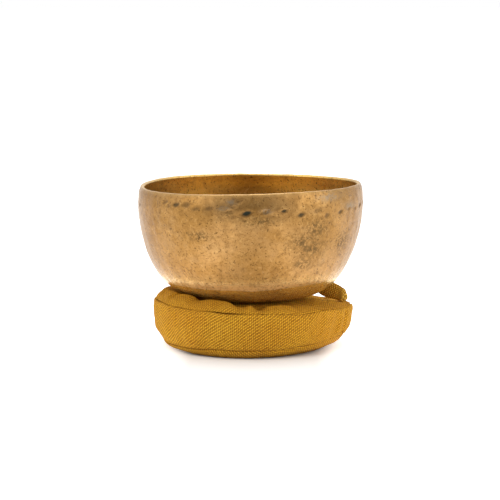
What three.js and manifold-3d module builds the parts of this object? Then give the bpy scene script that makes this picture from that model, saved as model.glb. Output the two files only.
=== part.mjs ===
// A hammered bronze singing bowl standing on its round fabric cushion, in millimetres.
// +Z is up, and -Y is the front. The origin is the centre of the cushion's flat underside,
// on the surface that the cushion stands on.
//
// The bowl is one sheet of metal that only rests on the cushion, so it lifts straight off.
// The cushion is a box cushion: a top panel, a side band and a bottom panel of coarse cotton,
// sewn edge to edge around a soft filling, with a strap loop caught in the top seam.

import * as THREE from "three";
import { mergeVertices } from "three/addons/utils/BufferGeometryUtils.js";
import Module from "manifold-3d";

const wasm = await Module();
wasm.setup();

// The bowl. Its wall is a flat base, then three arcs that run into each other: the heel, the
// side up to the widest ring, and the shoulder that leans back in to the rim.
const BOWL_DIAMETER = 140;
const BOWL_WALL = 2.2;
const HEEL_RADIUS = 33;
const HEEL_TURN = 59; // degrees from flat to where the side begins
const SIDE_RADIUS = 86;
const SHOULDER_RADIUS = 22;
const SHOULDER_TURN = 26; // degrees past upright at the rim
const RIM_SLOPE = 0.014; // rise per millimetre to the right: beaten by hand, the rim isn't level
const BOWL_HEIGHT = 70;
const BOWL_SHIFT = -1.7; // the bowl stands a little left of the cushion's centre
const BOWL_FOOT = 30.6; // height of its base
const BOWL_SEGMENTS = 56;

// The cushion. Each seam is a ring where two panels turn in. The bowl has pushed the filling to
// the left, so a height is given at the middle, with how far it falls at the low side, LOW_ANGLE.
const CLOTH = 1.1;
const TOP_HEIGHT = 30.2;
const CREST = { radius: 50.6, height: 30.4, fall: 5 }; // the top panel's highest ring
const TOP_SEAM = { radius: 59.8, height: 26.8, fall: 2.4 };
const BOTTOM_SEAM = { radius: 58.2, height: 6.6, fall: -2.2 };
const LOW_ANGLE = 25; // degrees from +X
// The side band's outer face between its seams, as [radius, share of the way up].
const BAND_SECTION = [
  [60.6, 0.24],
  [61.9, 0.5],
  [62.2, 0.76],
];
const FLAT_UNDERSIDE = 46; // radius of the face that it stands on
const DISHED_TOP = { radius: 34, fall: 8 }; // the flat that the bowl has pressed into the top
const DISH_SAG = 0.1; // of the slope's middle below a straight line
const SEAM_GAP = 1.2; // between the edges of two panels, which the thread lies in
const TURN_IN = 7; // width of the side band's turned edges inside the cushion
const CLEARANCE = 0.3;
const THREAD = 0.6; // diameter
const CUSHION_SEGMENTS = 48;

// The side band's two ends meet at the right, a little to the front.
const BAND_JOIN_ANGLE = -22; // degrees from +X
const BAND_JOIN_GAP = 1.2;

// The strap loop stands on the top seam at the right and the back, with its ends 47 degrees apart.
const STRAP_WIDTH = 8.6;
const STRAP_THICKNESS = 2.4;
const STRAP_END_WIDTH = 3.4; // gathered where it goes into the seam
const STRAP_STEPS = 34;
// Its middle line as [degrees from +X, distance from the axis, height].
const STRAP_LINE = [
  [13.0, 59.0, 28.0],
  [15.4, 58.2, 29.3],
  [19.4, 57.0, 30.0],
  [25.0, 55.6, 30.6],
  [30.5, 54.8, 31.2],
  [36.0, 54.4, 33.6],
  [42.5, 54.4, 35.6],
  [49.5, 55.2, 35.2],
  [55.5, 56.8, 32.6],
  [60.0, 58.6, 28.6],
];

const bronze = new THREE.MeshStandardMaterial({ color: 0xb07c3c, metalness: 0.9, roughness: 0.42 });
const cotton = new THREE.MeshStandardMaterial({ color: 0xc08a2a, metalness: 0, roughness: 0.95 });
const fibre = new THREE.MeshStandardMaterial({ color: 0xe6dfd0, metalness: 0, roughness: 1 });
const yarn = new THREE.MeshStandardMaterial({ color: 0xa8761f, metalness: 0, roughness: 0.9 });

const radians = THREE.MathUtils.degToRad;
const { mapLinear, smoothstep } = THREE.MathUtils;

function node(name, geometry, material) {
  const mesh = new THREE.Mesh(geometry, material);
  mesh.name = name;
  return mesh;
}

// Points on an arc in the half-plane of radius and height. Angles are degrees from the radius.
function arc(centre, radius, from, to, steps) {
  return Array.from({ length: steps + 1 }, (_, i) => {
    const angle = radians(mapLinear(i, 0, steps, from, to));
    return new THREE.Vector2(centre.x + radius * Math.cos(angle), centre.y + radius * Math.sin(angle));
  });
}

// A solid of revolution about Z from its closed outline, listed anticlockwise.
function revolve(outline, segments) {
  return new THREE.LatheGeometry(outline, segments).rotateX(Math.PI / 2);
}

// ---- bowl ----

// The wall's line at a depth inside the outer face, from the base's edge to the rim.
function bowlLine(inset) {
  const widest = BOWL_DIAMETER / 2;
  const turn = radians(HEEL_TURN);
  const heelRise = HEEL_RADIUS * (1 - Math.cos(turn));
  const sideRise = SIDE_RADIUS * Math.cos(turn);
  const sideSpread = SIDE_RADIUS * (1 - Math.sin(turn));
  const baseRadius = widest - sideSpread - HEEL_RADIUS * Math.sin(turn);
  const widestHeight = heelRise + sideRise;
  const heel = new THREE.Vector2(baseRadius, HEEL_RADIUS);
  const side = new THREE.Vector2(widest - SIDE_RADIUS, widestHeight);
  const shoulder = new THREE.Vector2(widest - SHOULDER_RADIUS, widestHeight);
  return {
    points: [
      ...arc(heel, HEEL_RADIUS - inset, -90, HEEL_TURN - 90, 8),
      ...arc(side, SIDE_RADIUS - inset, HEEL_TURN - 90, 0, 7).slice(1),
      ...arc(shoulder, SHOULDER_RADIUS - inset, 0, SHOULDER_TURN, 3).slice(1),
    ],
    lipCentre: arc(shoulder, SHOULDER_RADIUS - BOWL_WALL / 2, SHOULDER_TURN, SHOULDER_TURN, 1)[0],
  };
}

function makeBowl() {
  const outer = bowlLine(0);
  const inner = bowlLine(BOWL_WALL);
  const lip = arc(outer.lipCentre, BOWL_WALL / 2, SHOULDER_TURN, SHOULDER_TURN + 180, 4).slice(1, -1);
  const outline = [
    new THREE.Vector2(0, 0),
    ...outer.points,
    ...lip,
    ...inner.points.reverse(),
    new THREE.Vector2(0, BOWL_WALL),
  ];
  const bowl = node("bowl", revolve(outline, BOWL_SEGMENTS), bronze);
  const place = bowl.geometry.attributes.position;
  for (let i = 0; i < place.count; i++) {
    const share = place.getZ(i) / BOWL_HEIGHT;
    place.setZ(i, place.getZ(i) + RIM_SLOPE * share * place.getX(i));
  }
  bowl.geometry.computeVertexNormals();
  bowl.position.set(BOWL_SHIFT, 0, BOWL_FOOT);
  return bowl;
}

// ---- cushion ----

// A round piece whose outline changes round the ring. "low" is 1 at LOW_ANGLE, -1 opposite.
function roundPiece(outlineAt) {
  const piece = new THREE.LatheGeometry(outlineAt(0), CUSHION_SEGMENTS);
  const place = piece.attributes.position;
  const count = outlineAt(0).length;
  for (let i = 0; i < place.count; i++) {
    const turn = (2 * Math.PI * Math.floor(i / count)) / CUSHION_SEGMENTS;
    const point = outlineAt(Math.sin(turn - radians(LOW_ANGLE)))[i % count];
    place.setXYZ(i, point.x * Math.sin(turn), point.y, point.x * Math.cos(turn));
  }
  piece.rotateX(Math.PI / 2);
  piece.computeVertexNormals();
  return piece;
}

const points = (pairs) => pairs.map(([radius, height]) => new THREE.Vector2(radius, height));
const spline = (pairs, steps) => new THREE.SplineCurve(points(pairs)).getPoints(steps);
const heightOf = (ring, low) => ring.height - ring.fall * low;
const aboveSeam = (seam, low) => heightOf(seam, low) + SEAM_GAP / 2;
const belowSeam = (seam, low) => heightOf(seam, low) - SEAM_GAP / 2;

// The slope from the crest down to the flat under the bowl, at a depth below the cloth's face.
function dishedSlope(low, depth) {
  const crest = heightOf(CREST, low);
  const flat = DISHED_TOP.radius - DISHED_TOP.fall * low;
  return [
    [CREST.radius, crest - depth],
    [(flat + CREST.radius) / 2, (TOP_HEIGHT + crest) / 2 - DISH_SAG - depth],
    [flat, TOP_HEIGHT - depth],
  ];
}

function topPanelOutline(low) {
  const edge = aboveSeam(TOP_SEAM, low);
  const crest = heightOf(CREST, low);
  const up = (share) => THREE.MathUtils.lerp(edge, crest, share);
  const skin = spline(
    [
      [TOP_SEAM.radius, edge],
      [TOP_SEAM.radius - 1.6, up(0.38) + 0.4],
      [TOP_SEAM.radius - 4.6, up(0.8) + 0.3],
      ...dishedSlope(low, 0),
    ],
    11,
  );
  const lining = points([
    [0, TOP_HEIGHT - CLOTH],
    ...dishedSlope(low, CLOTH).reverse(),
    [TOP_SEAM.radius - 5, up(0.8) + 0.2 - CLOTH],
    [TOP_SEAM.radius - CLOTH - 0.8, edge],
  ]);
  return [...lining, ...skin, new THREE.Vector2(0, TOP_HEIGHT)];
}

function sideBandOutline(low) {
  const top = belowSeam(TOP_SEAM, low);
  const bottom = aboveSeam(BOTTOM_SEAM, low);
  const up = (share) => THREE.MathUtils.lerp(bottom, top, share);
  const section = BAND_SECTION.map(([radius, share]) => [radius, up(share)]);
  const lining = section.map(([radius, height]) => [radius - CLOTH, height]);
  const skin = spline([[BOTTOM_SEAM.radius, bottom], ...section, [TOP_SEAM.radius + 0.4, top]], 10);
  const inside = points([
    [TOP_SEAM.radius - TURN_IN, top],
    [TOP_SEAM.radius - TURN_IN, top - CLOTH],
    [TOP_SEAM.radius - 0.9, top - CLOTH],
    ...lining.reverse(),
    [BOTTOM_SEAM.radius - 0.8, bottom + CLOTH],
    [BOTTOM_SEAM.radius - TURN_IN, bottom + CLOTH],
    [BOTTOM_SEAM.radius - TURN_IN, bottom],
  ]);
  return [...skin, ...inside, skin[0]];
}

function bottomPanelOutline(low) {
  const edge = belowSeam(BOTTOM_SEAM, low);
  const skin = spline(
    [
      [FLAT_UNDERSIDE, 0],
      [52, edge * 0.14],
      [56.2, edge * 0.5],
      [BOTTOM_SEAM.radius, edge],
    ],
    6,
  );
  const lining = points([
    [BOTTOM_SEAM.radius - CLOTH, edge],
    [55, edge * 0.5 + 0.5],
    [FLAT_UNDERSIDE, CLOTH],
    [0, CLOTH],
  ]);
  return [new THREE.Vector2(0, 0), ...skin, ...lining];
}

// The filling bears on the panels and is waisted where the band's turned edges reach in.
function fillingOutline(low) {
  const gap = CLOTH + CLEARANCE;
  const bottom = aboveSeam(BOTTOM_SEAM, low) + gap;
  const top = belowSeam(TOP_SEAM, low) - gap;
  const up = (share) => THREE.MathUtils.lerp(bottom, top, share);
  const waist = BOTTOM_SEAM.radius - TURN_IN - CLEARANCE;
  const neck = TOP_SEAM.radius - TURN_IN - CLEARANCE;
  const [crest, ...slope] = dishedSlope(low, gap + 0.1);
  const underside = (waist - FLAT_UNDERSIDE) * 0.06 * belowSeam(BOTTOM_SEAM, low);
  return points([
    [0, gap],
    [FLAT_UNDERSIDE, gap],
    [waist, gap + underside],
    [waist, bottom],
    [BOTTOM_SEAM.radius - gap, bottom],
    ...BAND_SECTION.map(([radius, share]) => [radius - gap - 0.4, up(share)]),
    [TOP_SEAM.radius - gap, top],
    [neck, top],
    [neck, crest[1] - 0.9],
    crest,
    ...slope,
    [0, slope.at(-1)[1]],
  ]);
}

// A ring of thread in the gap between two panels.
function seamThreadOutline(seam, low) {
  const centre = new THREE.Vector2(seam.radius - 1.4, heightOf(seam, low));
  const ring = arc(centre, THREAD / 2, 0, 300, 5);
  return [...ring, ring[0]];
}

// The side band is one strip, so its ends leave a slit where they are joined.
function makeSideBand() {
  const slit = new THREE.BoxGeometry(TURN_IN * 3, BAND_JOIN_GAP, TOP_HEIGHT * 2);
  slit.translate(TOP_SEAM.radius, 0, TOP_HEIGHT / 2).rotateZ(radians(BAND_JOIN_ANGLE));
  return node("side_band", cut(roundPiece(sideBandOutline), slit), cotton);
}

// A round thread along a curve.
function threadAlong(curve, steps) {
  const section = new THREE.Shape().absarc(0, 0, THREAD / 2, 0, 2 * Math.PI);
  return new THREE.ExtrudeGeometry(section, { steps, curveSegments: 3, extrudePath: curve });
}

// The thread that joins the band's two ends, in the slit and flush with the cloth.
function makeBandJoinThread() {
  const low = Math.cos(radians(BAND_JOIN_ANGLE - LOW_ANGLE));
  const bottom = aboveSeam(BOTTOM_SEAM, low) + CLOTH;
  const top = belowSeam(TOP_SEAM, low) - CLOTH;
  const line = points([
    [BOTTOM_SEAM.radius + 0.2, bottom],
    [61.2, THREE.MathUtils.lerp(bottom, top, 0.5)],
    [TOP_SEAM.radius + 0.6, top],
  ]).map((p) => new THREE.Vector3(p.x, 0, p.y));
  const thread = threadAlong(new THREE.CatmullRomCurve3(line), 8);
  return node("band_join_thread", thread.rotateZ(radians(BAND_JOIN_ANGLE)), yarn);
}

// ---- strap loop ----

const strapCurve = new THREE.CatmullRomCurve3(
  STRAP_LINE.map(([angle, radius, height]) => {
    const turn = radians(angle);
    return new THREE.Vector3(radius * Math.cos(turn), radius * Math.sin(turn), height);
  }),
);

// A point beside the strap's middle line: across its width, and outwards from the cushion.
function besideStrap(share, across, outwards) {
  const middle = strapCurve.getPointAt(share);
  const along = strapCurve.getTangentAt(share);
  const out = new THREE.Vector3(middle.x, middle.y, 0).normalize();
  const width = new THREE.Vector3().crossVectors(out, along).normalize();
  return middle.addScaledVector(width, across).addScaledVector(out, outwards);
}

// The strap is as wide as its cloth along the top, and gathered at both ends.
function strapWidth(share) {
  const fromEnd = Math.min(share, 1 - share);
  return THREE.MathUtils.lerp(STRAP_END_WIDTH, STRAP_WIDTH, smoothstep(fromEnd, 0, 0.2));
}

function makeStrap() {
  const strap = new THREE.BoxGeometry(1, 1, 1, STRAP_STEPS, 3, 2);
  const place = strap.attributes.position;
  for (let i = 0; i < place.count; i++) {
    const share = place.getX(i) + 0.5;
    const across = place.getY(i);
    const rounding = Math.sqrt(1 - 1.6 * across * across); // thinner towards both edges
    const point = besideStrap(share, across * strapWidth(share), place.getZ(i) * STRAP_THICKNESS * rounding);
    place.setXYZ(i, point.x, point.y, point.z);
  }
  return node("strap_loop", strap, cotton);
}

// The strap is a folded strip, closed by a thread along its lower edge.
function makeStrapThread() {
  const marks = Array.from({ length: 9 }, (_, i) => {
    const share = mapLinear(i, 0, 8, 0.16, 0.84);
    return besideStrap(share, strapWidth(share) / 2 + THREAD / 2 + CLEARANCE, 0);
  });
  return node("strap_edge_thread", threadAlong(new THREE.CatmullRomCurve3(marks), 20), yarn);
}

// ---- booleans ----

function solid(geometry) {
  const bare = new THREE.BufferGeometry();
  bare.setAttribute("position", geometry.attributes.position);
  bare.setIndex(geometry.index);
  const merged = mergeVertices(bare, 1e-4);
  return new wasm.Manifold(
    new wasm.Mesh({
      numProp: 3,
      vertProperties: new Float32Array(merged.attributes.position.array),
      triVerts: new Uint32Array(merged.index.array),
    }),
  );
}

function cut(geometry, tool) {
  const mesh = solid(geometry).subtract(solid(tool)).getMesh();
  const result = new THREE.BufferGeometry();
  result.setAttribute("position", new THREE.BufferAttribute(mesh.vertProperties, 3));
  result.setIndex(new THREE.BufferAttribute(mesh.triVerts, 1));
  result.computeVertexNormals();
  return result;
}

const cushion = new THREE.Group();
cushion.add(
  node("top_panel", roundPiece(topPanelOutline), cotton),
  makeSideBand(),
  node("bottom_panel", roundPiece(bottomPanelOutline), cotton),
  node("filling", roundPiece(fillingOutline), fibre),
  node("top_seam_thread", roundPiece((low) => seamThreadOutline(TOP_SEAM, low)), yarn),
  node("bottom_seam_thread", roundPiece((low) => seamThreadOutline(BOTTOM_SEAM, low)), yarn),
  makeBandJoinThread(),
);

const loop = new THREE.Group();
loop.add(makeStrap(), makeStrapThread());

const singingBowl = new THREE.Group();
singingBowl.add(makeBowl(), cushion, loop);

export default singingBowl;
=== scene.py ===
"""Looks of the singing bowl on its cushion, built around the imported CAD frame. Lengths are in metres."""

import functools
import math

import bpy
import numpy as np
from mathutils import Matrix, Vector


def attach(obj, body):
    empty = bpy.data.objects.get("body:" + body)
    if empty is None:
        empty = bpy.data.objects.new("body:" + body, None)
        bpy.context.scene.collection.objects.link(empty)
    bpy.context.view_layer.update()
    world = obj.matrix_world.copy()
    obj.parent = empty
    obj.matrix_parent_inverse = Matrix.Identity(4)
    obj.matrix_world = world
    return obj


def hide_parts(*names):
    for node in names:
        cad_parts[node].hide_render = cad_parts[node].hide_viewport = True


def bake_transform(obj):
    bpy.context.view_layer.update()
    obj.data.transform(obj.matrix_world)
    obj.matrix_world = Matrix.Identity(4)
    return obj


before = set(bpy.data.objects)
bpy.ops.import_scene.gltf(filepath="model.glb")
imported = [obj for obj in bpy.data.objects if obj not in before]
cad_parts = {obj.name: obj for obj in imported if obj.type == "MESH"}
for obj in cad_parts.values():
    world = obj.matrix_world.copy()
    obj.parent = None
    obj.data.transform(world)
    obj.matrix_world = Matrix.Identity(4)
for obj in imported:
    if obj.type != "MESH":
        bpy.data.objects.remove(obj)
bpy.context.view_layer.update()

MM = 0.001
rng = np.random.default_rng(7)

# ---- sizes, in millimetres, in the same frame as the CAD ----

CAMERA_PLACE = (-1.87 * MM, -1.25, 217.9 * MM)
CAMERA_DOWN = 7.24  # degrees that it looks down
CAMERA_LENS = 144.8

BOWL_X = -1.7  # the bowl's axis
BOWL_FOOT = 30.6  # height of its base
BOWL_RADIUS = 70.0
HEEL_RADIUS = 33.0
HEEL_TURN = math.radians(59)
SIDE_RADIUS = 86.0
SHOULDER_RADIUS = 22.0
SHOULDER_TURN = math.radians(26)
RIM_SLOPE = 0.014
BOWL_HEIGHT = 70.0
WALL = 2.2
SCRIBED_LINE = 49.2  # height on the bowl of the line scribed round it
PUNCH_HALF_LENGTH = 2.9
PUNCH_HALF_HEIGHT = 1.5
PUNCH_LEAN = math.radians(14)
BOWL_COLUMNS = 600  # mesh points round the bowl

LOW_ANGLE = math.radians(25)  # the cushion's low side
SEAT = 29.9  # height of the flat dip in the cushion, under the bowl
CREST = 30.4  # mean height of the cushion's highest ring
TOP_SEAM = 26.8  # mean height of the top seam
TOP_SEAM_RADIUS = 58.9
BOTTOM_SEAM = 6.6  # mean height of the bottom seam
BOTTOM_SEAM_RADIUS = 58.0
UNDERSIDE = 0.15
BAND_RADIUS = 61.2  # where the band's weave is laid out at its true size
JOIN_ANGLE = math.radians(-21.0)  # where the band's two ends are sewn together
TUCK = 57.4  # radius that the turned edges of the top panel and the band reach in to

STRAP_LENGTH = 66
STRAP_THICKNESS = 2.5
SEAM_STITCH = 3.0  # length of one stitch
STRAP_STITCH = 2.6
WARP_PITCH = 1.27  # between two upright threads of the band
WEFT_PITCH = 0.93  # between two level threads

# ---- small helpers ----


def smooth(value, low, high):
    t = np.clip((value - low) / (high - low), 0, 1)
    return t * t * (3 - 2 * t)


def wave(angle, terms):
    """A sum of cosines round a ring: each term is (turns, size, phase)."""
    return sum(size * np.cos(turns * angle + phase) for turns, size, phase in terms)


def angle_from(angle, degrees):
    """Signed degrees between an angle in radians and one in degrees."""
    return (np.degrees(angle) - degrees + 180) % 360 - 180


def hump(angle, degrees, width):
    """1 at one place on the ring, fading to 0 about twice the width away."""
    return np.exp(-((angle_from(angle, degrees) / width) ** 2))


def grid_mesh(name, points, cap_start=False, cap_end=False):
    """A mesh from points[row, column, xyz] in millimetres; columns go round, rows go along."""
    rows, columns = points.shape[:2]
    index = np.arange(rows * columns).reshape(rows, columns)
    beside = np.roll(index, -1, axis=1)
    quads = np.stack([index[:-1], beside[:-1], beside[1:], index[1:]], axis=-1).reshape(-1, 4)
    vertices = points.reshape(-1, 3) * MM
    faces = quads.tolist()
    if cap_start:
        vertices = np.vstack([vertices, vertices[index[0]].mean(0)])
        pole = len(vertices) - 1
        faces += [[pole, b, a] for a, b in zip(index[0], np.roll(index[0], -1))]
    if cap_end:
        vertices = np.vstack([vertices, vertices[index[-1]].mean(0)])
        pole = len(vertices) - 1
        faces += [[pole, a, b] for a, b in zip(index[-1], np.roll(index[-1], -1))]
    mesh = bpy.data.meshes.new(name)
    mesh.from_pydata(vertices.tolist(), [], faces)
    mesh.update()
    mesh.polygons.foreach_set("use_smooth", [True] * len(mesh.polygons))
    piece = bpy.data.objects.new(name, mesh)
    bpy.context.scene.collection.objects.link(piece)
    return piece


def point_value(piece, name, values):
    """Stores one number for each vertex, for the piece's material to read."""
    whole = np.zeros(len(piece.data.vertices), np.float32)
    whole[: values.size] = values.ravel()
    piece.data.attributes.new(name, "FLOAT", "POINT").data.foreach_set("value", whole)


def point_vector(piece, name, values):
    whole = np.zeros((len(piece.data.vertices), 3), np.float32)
    flat = values.reshape(-1, 3)
    whole[: len(flat)] = flat
    piece.data.attributes.new(name, "FLOAT_VECTOR", "POINT").data.foreach_set("vector", whole.ravel())


class Nodes:
    """Short calls for building a material's node tree."""

    def __init__(self, name):
        self.material = bpy.data.materials.new(name)
        self.material.use_nodes = True
        self.tree = self.material.node_tree
        self.shader = self.tree.nodes["Principled BSDF"]

    def add(self, kind, **settings):
        made = self.tree.nodes.new(kind)
        for key, value in settings.items():
            setattr(made, key, value)
        return made

    def link(self, source, target):
        self.tree.links.new(source, target)

    def put(self, target, value):
        if isinstance(value, bpy.types.NodeSocket):
            self.link(value, target)
        else:
            target.default_value = value

    def math(self, operation, a, b=0.0, c=0.0):
        made = self.add("ShaderNodeMath", operation=operation)
        for socket, value in zip(made.inputs, (a, b, c)):
            self.put(socket, value)
        return made.outputs[0]

    def attribute(self, name, output="Fac"):
        return self.add("ShaderNodeAttribute", attribute_name=name).outputs[output]

    def place(self):
        return self.add("ShaderNodeTexCoord").outputs["Object"]

    def scaled(self, vector, scale):
        made = self.add("ShaderNodeVectorMath", operation="MULTIPLY")
        self.put(made.inputs[0], vector)
        made.inputs[1].default_value = scale
        return made.outputs[0]

    def split(self, vector):
        made = self.add("ShaderNodeSeparateXYZ")
        self.put(made.inputs[0], vector)
        return made.outputs

    def times(self, a, b):
        return self.math("MULTIPLY", a, b)

    def noise(self, vector, scale, detail=4.0, roughness=0.55, distortion=0.0):
        made = self.add("ShaderNodeTexNoise")
        self.put(made.inputs["Vector"], vector)
        made.inputs["Scale"].default_value = scale
        made.inputs["Detail"].default_value = detail
        made.inputs["Roughness"].default_value = roughness
        made.inputs["Distortion"].default_value = distortion
        return made.outputs["Fac"]

    def spread(self, value, low, high, out_low=0.0, out_high=1.0):
        """A smooth step from out_low, where the value is low, to out_high."""
        made = self.add("ShaderNodeMapRange", interpolation_type="SMOOTHSTEP")
        for socket, number in zip(made.inputs, (value, low, high, out_low, out_high)):
            self.put(socket, number)
        return made.outputs[0]

    def mix(self, share, a, b):
        """Colour a, with a share of colour b."""
        made = self.add("ShaderNodeMix", data_type="RGBA")
        self.put(made.inputs["Factor"], share)
        self.put(made.inputs[6], a)
        self.put(made.inputs[7], b)
        return made.outputs[2]

    def bump(self, height, strength, distance, normal=None):
        made = self.add("ShaderNodeBump")
        made.inputs["Strength"].default_value = strength
        made.inputs["Distance"].default_value = distance
        self.link(height, made.inputs["Height"])
        if normal is not None:
            self.link(normal, made.inputs["Normal"])
        return made.outputs[0]


def rgb(red, green, blue):
    """A linear colour from the usual 0 to 255 screen values."""
    def linear(v):
        v = v / 255
        return v / 12.92 if v <= 0.04045 else ((v + 0.055) / 1.055) ** 2.4
    return (linear(red), linear(green), linear(blue), 1.0)


# ---- camera, light and floor ----


def make_camera():
    camera = bpy.data.cameras.new("camera")
    camera.lens = CAMERA_LENS
    camera.sensor_width = 36
    camera.clip_end = 50
    holder = bpy.data.objects.new("camera", camera)
    bpy.context.scene.collection.objects.link(holder)
    holder.location = CAMERA_PLACE
    holder.rotation_euler = (math.radians(90 - CAMERA_DOWN), 0, 0)
    bpy.context.scene.camera = holder


def area_light(name, place, size, power):
    """A square lamp that faces the object."""
    light = bpy.data.lights.new(name, "AREA")
    light.shape = "SQUARE"
    light.size = size
    light.energy = power
    holder = bpy.data.objects.new(name, light)
    holder.location = place
    direction = Vector((0, 0, 0.05)) - Vector(place)
    holder.rotation_euler = direction.to_track_quat("-Z", "Y").to_euler()
    bpy.context.scene.collection.objects.link(holder)


def make_lights():
    area_light("left_soft", (-1.5, -0.7, 0.8), 1.2, 4.6)
    area_light("right_soft", (1.4, -0.6, 0.6), 1.2, 5.5)
    area_light("top_soft", (0, 0.4, 1.7), 1.6, 15)


def make_world():
    """A pale room with a darker part straight in front, where the viewer stands."""
    world = bpy.data.worlds.new("room")
    bpy.context.scene.world = world
    world.use_nodes = True
    tree = world.node_tree
    back = tree.nodes["Background"]
    place = tree.nodes.new("ShaderNodeTexCoord")
    split = tree.nodes.new("ShaderNodeSeparateXYZ")
    ramp = tree.nodes.new("ShaderNodeValToRGB")
    shift = tree.nodes.new("ShaderNodeMapRange")
    shift.inputs["From Min"].default_value = -1
    shift.inputs["From Max"].default_value = 1
    tree.links.new(place.outputs["Generated"], split.inputs[0])
    tree.links.new(split.outputs["Y"], shift.inputs["Value"])
    tree.links.new(shift.outputs[0], ramp.inputs[0])
    stops = ramp.color_ramp.elements
    stops[0].position = 0.0
    stops[0].color = (0.34, 0.33, 0.32, 1)
    stops[1].position = 0.6
    stops[1].color = (1.0, 1.0, 1.0, 1)
    for position, grey in ((0.05, 0.42), (0.13, 0.80), (0.24, 1.06)):
        stops.new(position).color = (grey, grey * 0.995, grey * 0.985, 1)
    tree.links.new(ramp.outputs[0], back.inputs["Color"])
    back.inputs["Strength"].default_value = 1.0


def make_floor():
    """A white sheet that glows beside and behind the cushion, a painted light from no lamp, and is painted
    grey far in front of it, as shade that the bowl reflects.
    """
    bpy.ops.mesh.primitive_plane_add(size=60, location=(0, 0, 0))
    floor = bpy.context.object
    floor.name = "floor"
    n = Nodes("floor")
    place = n.split(n.place())
    lit = n.spread(place["Y"], -0.80, -0.48)
    # It doesn't glow under the cushion or straight in front of it, and glows less far to each side.
    aside = n.math("ABSOLUTE", place["X"])
    behind = n.spread(place["Y"], 0.05, 0.16, 0.0, 0.55)
    near = n.math("MAXIMUM", n.spread(aside, 0.036, 0.055, 0.0, 0.55), behind)
    glow = n.times(near, n.spread(aside, 0.15, 0.08, 0.35, 1.0))
    # Painted shade: the floor's colour is grey far in front of the cushion, and the bowl reflects it.
    n.link(n.mix(lit, (0.34, 0.33, 0.32, 1), (0.93, 0.925, 0.915, 1)), n.shader.inputs["Base Color"])
    n.shader.inputs["Roughness"].default_value = 0.8
    n.shader.inputs["Specular IOR Level"].default_value = 0.1
    n.shader.inputs["Emission Color"].default_value = (1, 0.995, 0.985, 1)
    n.link(n.times(lit, glow), n.shader.inputs["Emission Strength"])
    floor.data.materials.append(n.material)


# ---- bowl ----


def bowl_line(inset, heel_steps, side_steps, shoulder_steps):
    """The wall's line as (radius, height), from the base's edge to the rim, at a depth inside it."""
    edge = BOWL_RADIUS - SIDE_RADIUS * (1 - math.sin(HEEL_TURN)) - HEEL_RADIUS * math.sin(HEEL_TURN)
    widest = HEEL_RADIUS * (1 - math.cos(HEEL_TURN)) + SIDE_RADIUS * math.cos(HEEL_TURN)

    def arc(x, z, radius, start, end, steps):
        angle = np.linspace(start, end, steps)
        return np.stack([x + (radius - inset) * np.cos(angle), z + (radius - inset) * np.sin(angle)], 1)

    turn = HEEL_TURN - math.pi / 2
    inner_edge = BOWL_RADIUS - SHOULDER_RADIUS
    return np.vstack([
        arc(edge, HEEL_RADIUS, HEEL_RADIUS, -math.pi / 2, turn, heel_steps),
        arc(BOWL_RADIUS - SIDE_RADIUS, widest, SIDE_RADIUS, turn, 0, side_steps)[1:],
        arc(inner_edge, widest, SHOULDER_RADIUS, 0, SHOULDER_TURN, shoulder_steps)[1:],
    ])


def resample(line, spacing):
    """The same line with points a varying distance apart; spacing gives it from a height."""
    step = np.hypot(*np.diff(line, axis=0).T)
    run = np.concatenate([[0], np.cumsum(step)])
    marks = [0.0]
    while marks[-1] < run[-1]:
        height = np.interp(marks[-1], run, line[:, 1])
        marks.append(marks[-1] + spacing(height))
    marks = np.array(marks) * run[-1] / marks[-1]
    return np.stack([np.interp(marks, run, line[:, 0]), np.interp(marks, run, line[:, 1])], 1)


def jitter(key):
    """A number from -0.5 to 0.5 that looks random, and is always the same for the same key."""
    large = np.sin(key) * 43758.5453
    return large - np.floor(large) - 0.5


def dents(angle, run, pitch_angle, pitch_run, seed):
    """Shallow overlapping hammer faces over a (round, along) surface: 0 at an edge, 1 in a face."""
    columns = round(2 * math.pi / pitch_angle)
    pitch_angle = 2 * math.pi / columns
    first = np.floor(angle / pitch_angle).astype(int)
    second = np.floor(run / pitch_run).astype(int)
    nearest = np.full(angle.shape, 9.0)
    next_nearest = np.full(angle.shape, 9.0)
    for i in (-1, 0, 1):
        for j in (-1, 0, 1):
            a = (first + i) % columns
            b = second + j
            shift_a = 0.7 * jitter(a * 127.1 + b * 311.7 + seed)
            shift_b = 0.7 * jitter(a * 269.5 + b * 183.3 + seed * 2)
            x = (first + i + 0.5 + shift_a) - angle / pitch_angle
            y = (second + j + 0.5 + shift_b) - run / pitch_run
            away = np.hypot(x, y)
            next_nearest = np.minimum(next_nearest, np.maximum(nearest, away))
            nearest = np.minimum(nearest, away)
    return smooth(next_nearest - nearest, 0.0, 0.75)


# The ring of leaf-shaped punch marks: (degrees from the front, height on the bowl, size, darkness).
FRONT_MARKS = [
    (-47.0, 65.4, 0.9, 0.5), (-44.5, 62.9, 0.8, 0.45), (-39.3, 64.0, 1.1, 0.8), (-33.2, 64.2, 1.25, 0.6),
    (-27.4, 62.0, 1.05, 0.6), (-20.3, 62.5, 1.05, 0.6), (-9.8, 60.9, 1.0, 0.3), (-7.6, 63.4, 0.8, 0.25),
    (-5.6, 66.0, 1.0, 0.3), (-1.7, 59.4, 1.25, 1.0), (7.2, 60.2, 0.9, 0.18), (16.6, 60.2, 0.8, 0.9),
    (25.5, 57.2, 1.05, 0.85), (35.1, 58.9, 1.1, 0.4), (41.4, 55.7, 0.9, 0.6), (51.1, 56.8, 0.9, 0.75),
    (58.8, 58.2, 0.7, 0.3), (66.2, 57.5, 0.7, 0.4),
]


def mark_list():
    """The marks at the front, then more of them at uneven steps round the back."""
    marks = list(FRONT_MARKS)
    angle = 74.0
    while angle < 360 - 74:
        swing = 2.2 * math.sin(math.radians(angle * 4.4))
        level = 59.4 + swing + rng.uniform(-0.5, 0.5)
        size = rng.uniform(0.7, 1.1)
        marks.append((angle, level, size, rng.uniform(0.25, 0.9)))
        angle += rng.uniform(7.6, 9.4)
    return marks


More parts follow.
